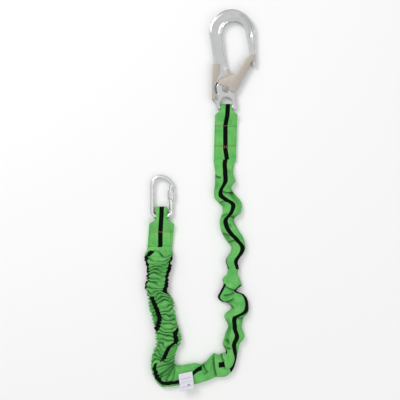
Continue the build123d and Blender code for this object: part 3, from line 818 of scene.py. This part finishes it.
def layStitches(name, rows, material, tree):
    curve = bpy.data.curves.new(name, "CURVE")
    curve.dimensions = "3D"
    for fromX, fromY, toX, toY in rows:
        spline = curve.splines.new("POLY")
        spline.points.add(1)
        spline.points[0].co = (fromX * mm, fromY * mm, seam["height"], 1)
        spline.points[1].co = (toX * mm, toY * mm, seam["height"], 1)
    holder = bpy.data.objects.new(name + "_line", curve)
    collection.objects.link(holder)
    modifier = holder.modifiers.new("stitches", "NODES")
    modifier.node_group = tree
    values = {"Pitch": seam["pitch"], "Length": seam["length"], "Radius": seam["radius"], "Thread": material}
    for item in tree.interface.items_tree:
        if item.in_out == "INPUT" and item.name in values:
            modifier[item.identifier] = values[item.name]
    bpy.context.view_layer.update()
    mesh = bpy.data.meshes.new_from_object(holder.evaluated_get(bpy.context.evaluated_depsgraph_get()))
    bpy.data.objects.remove(holder)
    piece = addObject(name, mesh, material)
    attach(piece, "lanyard")
    return piece


stitches = stitchTree()
for name, row in stitching.items():
    piece = layStitches(name + "_stitches", row["rows"], threads[row["thread"]], stitches)
    if name != "along":
        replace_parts(piece, name + "_stitching")
print("stitches ready")

# label: two leaves of white satin ribbon, curled a little; sizes in mm, angles in degrees
labelLeaf = {"at": (-33.2, -435.6), "width": 33.5, "drop": 41.5, "turn": 12.5, "lean": 4.5, "curl": 2.2 * mm,
             "height": 25.4 * mm, "thick": 0.3 * mm, "sway": 0.9, "columns": 24, "rows": 30}
# printed bands: height up the leaf, half height, start and end across it, all as shares, and colour
labelBands = ((0.68, 0.018, 0.12, 0.86, "c98ab4"), (0.50, 0.010, 0.10, 0.9, "aab0c0"),
              (0.42, 0.008, 0.10, 0.9, "b4b9c8"), (0.20, 0.016, 0.10, 0.9, "c9a0b8"),
              (0.27, 0.03, 0.55, 0.74, "4a4a50"))


def labelMaterial():
    # woven satin ribbon, white, with plain bands of ink in place of print
    material, tree, shader = newMaterial("satinRibbonLabel", {
        "Roughness": 0.5, "Sheen Weight": 0.1, "Specular IOR Level": 0.4})
    place = addNode(tree, "ShaderNodeUVMap", {"uv_map": "leaf"})
    axes = addNode(tree, "ShaderNodeSeparateXYZ", links={0: place.outputs[0]})
    colour = None
    for height, half, start, end, tint in labelBands:
        tests = []
        for axis, middle, reach in (("Y", height, half), ("X", (start + end) / 2, (end - start) / 2)):
            tests.append(addNode(tree, "ShaderNodeMath", {"operation": "COMPARE"}, {1: middle, 2: reach},
                                 {0: axes.outputs[axis]}))
        both = addNode(tree, "ShaderNodeMath", {"operation": "MULTIPLY"},
                       links={0: tests[0].outputs[0], 1: tests[1].outputs[0]})
        mixed = addNode(tree, "ShaderNodeMix", {"data_type": "RGBA"},
                        {6: linear("dcdde6"), 7: linear(tint)}, {0: both.outputs[0]})
        if colour:
            tree.links.new(colour.outputs[2], mixed.inputs[6])
        colour = mixed
    tree.links.new(colour.outputs[2], shader.inputs["Base Color"])
    return material


def buildLeaf(name, material, shift, lift):
    spec = labelLeaf
    columns, rows = spec["columns"], spec["rows"]
    turn, lean = math.radians(spec["turn"]), math.radians(spec["lean"])
    verts, uvs = [], []
    for r in range(rows + 1):
        for c in range(columns + 1):
            u, v = c / columns, r / rows
            x, y = (u - 0.5) * spec["width"], (v - 0.5) * spec["drop"]
            wave = math.sin(math.tau * (0.9 * u + 0.35 * v + shift)) * 0.5
            wave += math.cos(math.tau * (0.7 * v + shift)) * 0.5
            z = spec["height"] - lift + spec["curl"] * 0.45 * wave * (0.35 + 0.65 * (1 - v))
            x += spec["sway"] * math.sin(3.1 * v + shift * 4)
            verts.append((spec["at"][0] * mm + (x * math.cos(turn) - y * math.sin(lean)) * mm,
                          spec["at"][1] * mm + (x * math.sin(turn) + y * math.cos(lean)) * mm, z))
            uvs.append((u, v))
    faces = []
    for r in range(rows):
        for c in range(columns):
            near, far = r * (columns + 1) + c, (r + 1) * (columns + 1) + c
            faces.append((near, near + 1, far + 1, far))
    mesh = bpy.data.meshes.new(name)
    mesh.from_pydata(verts, [], faces)
    layer = mesh.uv_layers.new(name="leaf")
    for loop in mesh.loops:
        layer.data[loop.index].uv = uvs[loop.vertex_index]
    piece = addObject(name, mesh, material)
    thick = piece.modifiers.new("thickness", "SOLIDIFY")
    thick.thickness = spec["thick"]
    bakeModifiers(piece)
    piece.data.polygons.foreach_set("use_smooth", [True] * len(piece.data.polygons))
    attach(piece, "lanyard")
    return piece


labelSatin = labelMaterial()
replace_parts(buildLeaf("label_upper", labelSatin, 0.1, 0.0), "label_front")
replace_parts(buildLeaf("label_lower", labelSatin, 0.35, 1.4 * mm), "label_back")
print("label ready")
